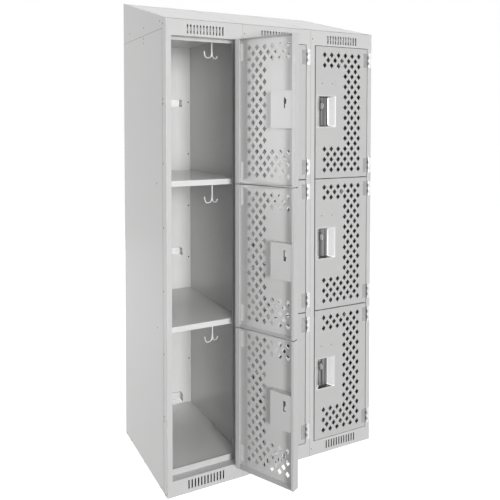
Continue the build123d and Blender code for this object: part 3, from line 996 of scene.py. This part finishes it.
def side_seams(bm, side):
    """Painted shadow of the seams and foot notches of a side of the cabinet."""
    low, high = sorted((side * (RIGHT + SEAM_PROUD), side * (RIGHT - SEAM_SUNK)))
    lap = FRONT + LAP_DEPTH
    add_block(bm, (low, lap, BODY_HEIGHT - SEAM_HALF), (high, BACK, BODY_HEIGHT + SEAM_HALF))
    add_block(bm, (low, lap - LAP_SEAM_HALF, SEAM_END), (high, lap + LAP_SEAM_HALF, BODY_HEIGHT))
    for depth in FOOT_NOTCHES:
        near, far = FRONT + depth - FOOT_NOTCH_HALF, FRONT + depth + FOOT_NOTCH_HALF
        add_block(bm, (low, near, 0), (high, far, FOOT_NOTCH_HEIGHT))


def column_seams(bm, x):
    """Painted shadow of the seams between two columns, on the front, over the hood and down the
    back.
    """
    low = (x - FRAME_SEAM_HALF, FRONT - SEAM_PROUD, SEAM_END)
    high = (x + FRAME_SEAM_HALF, FRONT + SEAM_SUNK, FRONT_HEIGHT - FRONT_SEAM_DROP)
    add_block(bm, low, high)
    low = (x - SEAM_HALF, FRONT + HOOD_SEAM_INSET, -HOOD_SEAM_SUNK)
    high = (x + SEAM_HALF, BACK - HOOD_SEAM_INSET, SEAM_PROUD)
    for vert in add_block(bm, low, high):
        vert.co.z += hood_height(vert.co.y)
    low = (x - SEAM_HALF, BACK - SEAM_SUNK, SEAM_END)
    high = (x + SEAM_HALF, BACK + SEAM_PROUD, BACK_HEIGHT - SEAM_END)
    add_block(bm, low, high)


def seam_lines():
    """Painted shadow: dark hairlines that stand for the shade in the gaps where two sheets meet."""
    bm = bmesh.new()
    for side in (-1, 1):
        side_seams(bm, side)
    bottom, top = (FRONT_HEIGHT - drop for drop in HOOD_SEAM_DROPS)
    low = (LEFT + SEAM_END, FRONT - SEAM_PROUD, bottom)
    high = (RIGHT - SEAM_END, FRONT + SEAM_SUNK, top)
    add_block(bm, low, high)
    for column in INNER_SEAMS:
        column_seams(bm, seam(column))
    finish_piece("seam_lines", bm, (seam_shadow,), "cabinet")


def side_fixings(bm, side):
    """Bolts and rivets of a side of the cabinet and of its hood."""
    rows = [(SIDE_BOLT_DEPTH, z, SIDE_BOLT) for z in SIDE_BOLTS]
    rows += [(SHELF_RIVET_DEPTH, z, SHELF_RIVET) for z in SHELF_RIVETS]
    rows += [(depth, z, HOOD_BOLT) for depth, z in HOOD_BOLTS]
    for depth, z, head in rows:
        add_head(bm, (side * RIGHT, FRONT + depth, z), (side, 0, 0), head)


def cabinet_fixings():
    """Bolts and rivets of the sides, hood, header joints and inner corners."""
    bm = bmesh.new()
    for side in (-1, 1):
        side_fixings(bm, side)
    for column in INNER_SEAMS:
        for z in FRAME_BOLTS:
            add_head(bm, (seam(column) + FRAME_BOLT_ASIDE, FRONT, z), (0, -1, 0), FRAME_BOLT)
    for column in range(len(COLUMNS) + 1):
        for side in (-1, 1):
            if not 0 <= column + side <= len(COLUMNS):
                continue
            x = seam(column) + side * CORNER_BOLT_ASIDE
            for z in CORNER_BOLTS:
                add_head(bm, (x, BACK - CORNER_BOLT_DEPTH, z), (0, -1, 0), CORNER_BOLT)
    finish_piece("cabinet_fixings", bm, (dark_zinc,), "cabinet")


bpy.context.scene.view_settings.view_transform = "Standard"
add_camera()
add_world()
add_floor()
for light in LIGHTS:
    add_area_light(*light)

# Coats of the sheet steel; the doors' own coat is a little darker than the frame's. Painted shade:
# the door insides take a darker copy of the grey. Painted light: the decks, ceilings and back take
# paler copies.
GREY = (0.655, 0.655, 0.652)
enamel = powder_coat("grey_powder_coat", GREY, 0.18)
door_enamel = powder_coat("door_powder_coat", shaded(GREY, 0.88), 0.22)
# Painted shade: a darker copy of the grey for the door insides and the cup covers.
shaded_inner_enamel = powder_coat("shaded_inner_powder_coat", shaded(GREY, 0.8), 0.3)
# Painted light: a paler copy of the grey for the shelves, floors and ceilings.
lightened_deck_enamel = powder_coat("lightened_deck_powder_coat", shaded(GREY, 1.2), 0.18)
# Painted light: a paler copy of the grey for the back panels and straps.
lightened_back_enamel = powder_coat("lightened_back_powder_coat", shaded(GREY, 1.2), 0.2)
# Painted shadow: near-black coat for the seams, notches and holes.
seam_shadow = powder_coat("seam_shadow", plain(0.06), 0.6)

# Metals: tone, roughness, grain per metre along x, y and z, share of the dark grain, share of metal
SPANGLE = (160, 160, 160)
FINE_GRAIN = (400, 400, 400)
DRAWN_LINES = (900, 900, 14)
STREAKS = (110, 110, 2)
stainless = bare_metal("drawn_stainless", plain(0.9), 0.34, DRAWN_LINES, 0.92, 0.35)
rim_stainless = bare_metal("rim_stainless", plain(0.64), 0.42, FINE_GRAIN, 0.94, 0.2)
# Painted shade: the cup's floor and short walls far darker than its sloping walls, with streaks.
streaked_and_shaded_stainless = bare_metal("streaked_and_shaded_stainless", plain(0.29), 0.3, STREAKS, 0.15)
bright_zinc = bare_metal("bright_zinc", (0.74, 0.74, 0.745), 0.3, SPANGLE)
# Painted shade: darker copies of the zinc for the door leaves, knuckles and screws.
shaded_leaf_zinc = bare_metal("shaded_leaf_zinc", (0.38, 0.38, 0.385), 0.42, SPANGLE)
shaded_knuckle_and_screw_zinc = bare_metal("shaded_knuckle_and_screw_zinc", plain(0.36), 0.45, SPANGLE)
satin_zinc = bare_metal("satin_zinc", (0.85, 0.85, 0.845), 0.5, SPANGLE, 0.84, 0.3)
strike_zinc = bare_metal("strike_zinc", plain(0.66), 0.5, SPANGLE, 0.84, 0.3)
# Nearly black zinc for the heads of the cabinet's fixings.
dark_zinc = bare_metal("dark_zinc", plain(0.13), 0.5, SPANGLE, 0.84, 0.4)

for node in nodes:
    dress(node, enamel)
# Painted light: the back panels and straps take the paler back coat.
for node in ("back_panels", "back_straps"):
    dress(node, lightened_back_enamel)
# Painted light: the ceilings take the paler deck coat.
dress("ceiling_panels", lightened_deck_enamel)

for node in UPRIGHTS + RAILS:
    folded_sheet(node, enamel, FRAME_BEND, FRAME_SHEET)
for node in ("side_panel_left", "side_panel_right", "hood_tops"):
    folded_sheet(node, enamel, PANEL_BEND, PANEL_SHEET)
# Painted light: the shelves and floors take the paler deck coat.
for node in ("shelves_lower", "shelves_upper", "floor_panels"):
    folded_sheet(node, lightened_deck_enamel, PANEL_BEND, PANEL_SHEET)

for column, tier in COMPARTMENTS:
    perforated_door(column, tier)
    padlock_cup(column, tier)
    door_leaves(column, tier)
    plate_holes(column, tier)
    # Painted shade: the cup covers take the darker inner coat.
    dress(f"cup_cover_{door_place(column, tier)}", shaded_inner_enamel)
seam_lines()
cabinet_fixings()
frame_leaves()
coat_hooks()
padlock_strikes()
